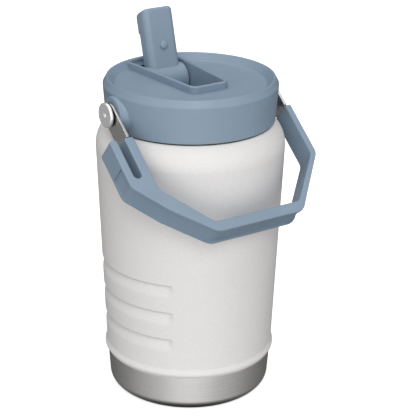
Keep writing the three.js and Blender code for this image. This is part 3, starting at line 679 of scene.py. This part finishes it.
for side, name in ((-1, "left"), (1, "right")):
    washer = turn_about("washer_" + name, WASHER, (0, 0, PIVOT_Z), (side, 0, 0), 96, close=True)
    smooth(washer, 35)
    settle(washer, "lid", "black_plastic", "pivot_bush_" + name)
    screw = turn_about("screw_head_" + name, head_line, (0, 0, PIVOT_Z), (side, 0, 0), 96)
    socket = slab("socket", hexagon, lambda y, z: (side * (HEAD_OUT - 1.4) * MM, y * MM, (PIVOT_Z + z) * MM),
                  (side * 3 * MM, 0, 0))
    combine(screw, socket, "DIFFERENCE")
    round_edges(screw, 0.15, at_socket, 2)
    smooth(screw, 32)
    settle(screw, "lid", "polished_steel", "pivot_screw_" + name)

# %% [markdown]
# ## Finishes
# Each finish is a small tree of nodes on the piece's own Object coordinates, so that its
# grain has a real size: noise with a scale of 2000 per metre has lumps of half a millimetre.
# Noise drives a faint change of colour, of roughness, and the bump. A moulded part has a
# fine spark-eroded grain, a powder coat an orange peel, and brushed steel long scratches,
# which is the same noise stretched along the way the brush ran.

# %% Helpers for finishes
def new_finish(name, roughness, metallic=0.0):
    finish = bpy.data.materials.new(name)
    finish.use_nodes = True
    shader = finish.node_tree.nodes["Principled BSDF"]
    shader.inputs["Roughness"].default_value = roughness
    shader.inputs["Metallic"].default_value = metallic
    return finish, finish.node_tree, shader


def grain(tree, scale, detail=3.0, stretch=(1, 1, 1)):
    """Noise with lumps of 1/scale metres, drawn out by stretch."""
    place = tree.nodes.new("ShaderNodeTexCoord")
    drawn = tree.nodes.new("ShaderNodeMapping")
    drawn.inputs["Scale"].default_value = stretch
    noise = tree.nodes.new("ShaderNodeTexNoise")
    noise.inputs["Scale"].default_value = scale
    noise.inputs["Detail"].default_value = detail
    tree.links.new(place.outputs["Object"], drawn.inputs["Vector"])
    tree.links.new(drawn.outputs["Vector"], noise.inputs["Vector"])
    return noise.outputs["Fac"]


def linear(red, green, blue):
    """A colour given as 0 to 255 on a screen, as the shader's linear light."""
    return [((value / 255 + 0.055) / 1.055) ** 2.4 for value in (red, green, blue)] + [1]


def tint(tree, shader, noise, dark, light):
    ramp = tree.nodes.new("ShaderNodeValToRGB")
    ramp.color_ramp.elements[0].position = 0.3
    ramp.color_ramp.elements[1].position = 0.7
    ramp.color_ramp.elements[0].color = linear(*dark)
    ramp.color_ramp.elements[1].color = linear(*light)
    tree.links.new(noise, ramp.inputs["Fac"])
    tree.links.new(ramp.outputs["Color"], shader.inputs["Base Color"])


def sheen_change(tree, shader, noise, low, high):
    spread = tree.nodes.new("ShaderNodeMapRange")
    spread.inputs["From Min"].default_value = 0.3
    spread.inputs["From Max"].default_value = 0.7
    spread.inputs["To Min"].default_value = low
    spread.inputs["To Max"].default_value = high
    tree.links.new(noise, spread.inputs["Value"])
    tree.links.new(spread.outputs["Result"], shader.inputs["Roughness"])


def relief(tree, shader, noise, depth):
    """Bump from noise, with its depth in millimetres."""
    bump = tree.nodes.new("ShaderNodeBump")
    bump.inputs["Distance"].default_value = depth * MM
    tree.links.new(noise, bump.inputs["Height"])
    tree.links.new(bump.outputs["Normal"], shader.inputs["Normal"])


# %% [markdown]
# ## The powder coat
# The shell is sprayed with powder and baked, which leaves a matt skin with a fine orange
# peel. A flat colour would look like paper, so noise varies the colour a little and gives
# the peel as bump. The roughness is high, because the real coat has no sharp highlight.

# %% Powder coat
FINISHES = {}
finish, tree, shader = new_finish("stone_coating", 0.5)
tint(tree, shader, grain(tree, 900), (212, 210, 209), (219, 217, 216))
sheen_change(tree, shader, grain(tree, 60), 0.6, 0.7)
relief(tree, shader, grain(tree, 1500, 2.0), 0.022)
FINISHES["stone_coating"] = finish

# %% [markdown]
# ## The steels
# Bare steel shows the way it was brushed. Noise that is stretched out along level lines
# turns into scratches, which run round the cup as a lathe leaves them. LATHE draws them
# long, and STRAIGHT draws shorter ones for the small pieces. The screws are nearly smooth.
# They scatter some light as well as reflecting it, so that they don't turn black where the
# room is dark.

# %% Steels
LATHE = (25, 25, 5000)
STRAIGHT = (150, 150, 4000)
STEELS = [("brushed_steel", (196, 195, 193), (214, 213, 211), LATHE, 0.22, 0.34, 0.012, 1.0),
          ("liner_steel", (176, 176, 175), (196, 196, 195), LATHE, 0.35, 0.5, 0.012, 1.0),
          ("polished_steel", (238, 238, 237), (242, 242, 241), STRAIGHT, 0.3, 0.33, 0.0004, 0.7),
          ("getter_metal", (120, 122, 125), (150, 152, 155), STRAIGHT, 0.5, 0.6, 0.02, 1.0),
          ("brass", (186, 152, 78), (206, 172, 98), STRAIGHT, 0.3, 0.42, 0.004, 1.0)]
for name, dark, light, brushing, smoothest, roughest, depth, metal in STEELS:
    finish, tree, shader = new_finish(name, roughest, metal)
    scratches = grain(tree, 1.0, 4.0, brushing)
    tint(tree, shader, scratches, dark, light)
    sheen_change(tree, shader, scratches, smoothest, roughest)
    relief(tree, shader, scratches, depth)
    FINISHES[name] = finish

# %% [markdown]
# ## Plastics and rubbers
# A mould is spark-eroded to a fine grain, and the plastic takes it on. One recipe serves
# all of them, because a plastic and a rubber differ mostly in colour and roughness.

# %% Plastics and rubbers
PLASTICS = [("blue_plastic", (122, 140, 157), (127, 145, 162), 0.44, 0.54, 2600, 0.018),
            ("blue_silicone", (124, 142, 159), (130, 148, 165), 0.6, 0.7, 1500, 0.01),
            ("dark_plastic", (58, 63, 69), (66, 71, 77), 0.5, 0.6, 2600, 0.018),
            ("black_plastic", (22, 22, 24), (30, 30, 32), 0.4, 0.5, 2600, 0.012),
            ("silicone", (200, 204, 207), (212, 216, 219), 0.55, 0.65, 1200, 0.012)]
for name, dark, light, smoothest, roughest, scale, depth in PLASTICS:
    finish, tree, shader = new_finish(name, roughest)
    tint(tree, shader, grain(tree, 35), dark, light)
    sheen_change(tree, shader, grain(tree, 120), smoothest, roughest)
    relief(tree, shader, grain(tree, scale), depth)
    FINISHES[name] = finish

# %% [markdown]
# ## Clear pieces
# The straw and the bead that seals the vacuum let light through. Transmission does that on
# the same shader, so no second shader is needed.

# %% Clear plastic and glass
for name, clearness, tone in (("clear_plastic", 0.8, (228, 234, 236)), ("seal_glass", 0.4, (110, 126, 134))):
    finish, tree, shader = new_finish(name, 0.2)
    shader.inputs["Transmission Weight"].default_value = clearness
    shader.inputs["IOR"].default_value = 1.49
    tint(tree, shader, grain(tree, 80), [0.96 * value for value in tone], tone)
    relief(tree, shader, grain(tree, 600), 0.01)
    FINISHES[name] = finish

# %% [markdown]
# ## Giving out the finishes
# Each new piece carries one finish. The nodes that stay as the frame made them, inside the
# jug, keep their shape and only take a finish in their own material slots.

# %% Put the finishes on
NODE_SLOTS = {
    "vacuum_seal": "seal_glass", "getter": "getter_metal", "inner_liner": "liner_steel",
    "threaded_neck": "liner_steel", "rim_gasket": "silicone", "plug_o_ring": "silicone",
    "lid_liner": "dark_plastic", "straw_tube": "clear_plastic", "spout_seal": "silicone",
    "vent_grommet": "silicone", "threaded_insert_left": "brass", "threaded_insert_right": "brass",
    "strap_pin_left": "brushed_steel", "strap_pin_right": "brushed_steel"}
for name, slot in slots.items():
    mesh = bpy.data.objects[name].data
    mesh.materials.clear()
    mesh.materials.append(FINISHES[slot])
for name, slot in NODE_SLOTS.items():
    for holder in frame["nodes"][name].material_slots:
        holder.material = FINISHES[slot]
print(len(FINISHES), "finishes on", len(slots), "new pieces and", len(NODE_SLOTS), "nodes of the frame")

# %% [markdown]
# ## Camera, floor and light
# A long lens a metre away keeps the jug's sides nearly parallel. The floor is pale paper,
# hidden from reflections and from bounced light, so that it doesn't brighten the jug from
# below. A soft box near the camera lights the front, and one overhead lights the lid.
# The rest of the light is the room itself: a card that is white behind the camera and
# darker at the sides and straight below. The dark sides draw the edges on bare steel.

# %% Camera
camera_data = bpy.data.cameras.new("camera")
camera = bpy.data.objects.new("camera", camera_data)
bpy.context.scene.collection.objects.link(camera)
bpy.context.scene.camera = camera
camera_data.lens = 127.05
camera_data.sensor_width = 36
camera.location = (-0.5311, -0.7964, 0.5146)
HEADING, PITCH, ROLL = (math.radians(angle) for angle in (-34.456, 68.16, 0.728))
aim = Matrix.Rotation(HEADING, 3, "Z") @ Matrix.Rotation(PITCH, 3, "X") @ Matrix.Rotation(ROLL, 3, "Z")
camera.rotation_euler = aim.to_euler()

# %% Floor
deselect()
bpy.ops.mesh.primitive_plane_add(size=60)
floor = bpy.context.object
floor.name = "floor"
floor.visible_diffuse = False
floor.visible_glossy = False
finish, tree, shader = new_finish("floor_paper", 0.9)
tint(tree, shader, grain(tree, 3), (250, 250, 250), (252, 252, 252))
shader.inputs["Specular IOR Level"].default_value = 0.0
shader.inputs["Emission Color"].default_value = (1, 1, 1, 1)
shader.inputs["Emission Strength"].default_value = 0.5
floor.data.materials.append(finish)


# %% Lights
def soft_box(name, place, target, size, power):
    lamp = bpy.data.lights.new(name, "AREA")
    lamp.size = size
    lamp.energy = power
    box = bpy.data.objects.new(name, lamp)
    box.location = place
    box.rotation_euler = (Vector(target) - Vector(place)).to_track_quat("-Z", "Y").to_euler()
    bpy.context.scene.collection.objects.link(box)


soft_box("front_box", (-0.75, -1.5, 1.4), (0, 0, 0.14), 0.9, 11)
soft_box("top_box", (0.1, 0.4, 2.1), (0, 0.4, 0), 2.8, 30)
world = bpy.data.worlds.new("studio")
bpy.context.scene.world = world
world.use_nodes = True
room = world.node_tree
air = room.nodes["Background"]
where = room.nodes.new("ShaderNodeTexCoord")
facing = room.nodes.new("ShaderNodeVectorMath")
facing.operation = "DOT_PRODUCT"
facing.inputs[1].default_value = (math.sin(HEADING) * 0.5, -math.cos(HEADING) * 0.5, 0)
shift = room.nodes.new("ShaderNodeMath")
shift.inputs[1].default_value = 0.5
card = room.nodes.new("ShaderNodeValToRGB")
room.links.new(where.outputs["Generated"], facing.inputs[0])
room.links.new(facing.outputs["Value"], shift.inputs[0])
room.links.new(shift.outputs["Value"], card.inputs["Fac"])
room.links.new(card.outputs["Color"], air.inputs["Color"])
CARD = [(0.0, 0.1), (0.12, 0.1), (0.45, 0.24), (0.81, 0.55), (0.95, 1.0)]
while len(card.color_ramp.elements) < len(CARD):
    card.color_ramp.elements.new(0.5)
for stop, (position, bright) in zip(card.color_ramp.elements, CARD):
    stop.position = position
    stop.color = (bright, bright, bright, 1)
height = room.nodes.new("ShaderNodeSeparateXYZ")
dim = room.nodes.new("ShaderNodeMapRange")
for socket, value in (("From Min", -0.95), ("From Max", -0.6), ("To Min", 0.15), ("To Max", 1.4)):
    dim.inputs[socket].default_value = value
room.links.new(where.outputs["Generated"], height.inputs["Vector"])
room.links.new(height.outputs["Z"], dim.inputs["Value"])
room.links.new(dim.outputs["Result"], air.inputs["Strength"])
bpy.context.scene.view_settings.view_transform = "Standard"

# %% Refresh the scene, and the end
bpy.context.view_layer.update()
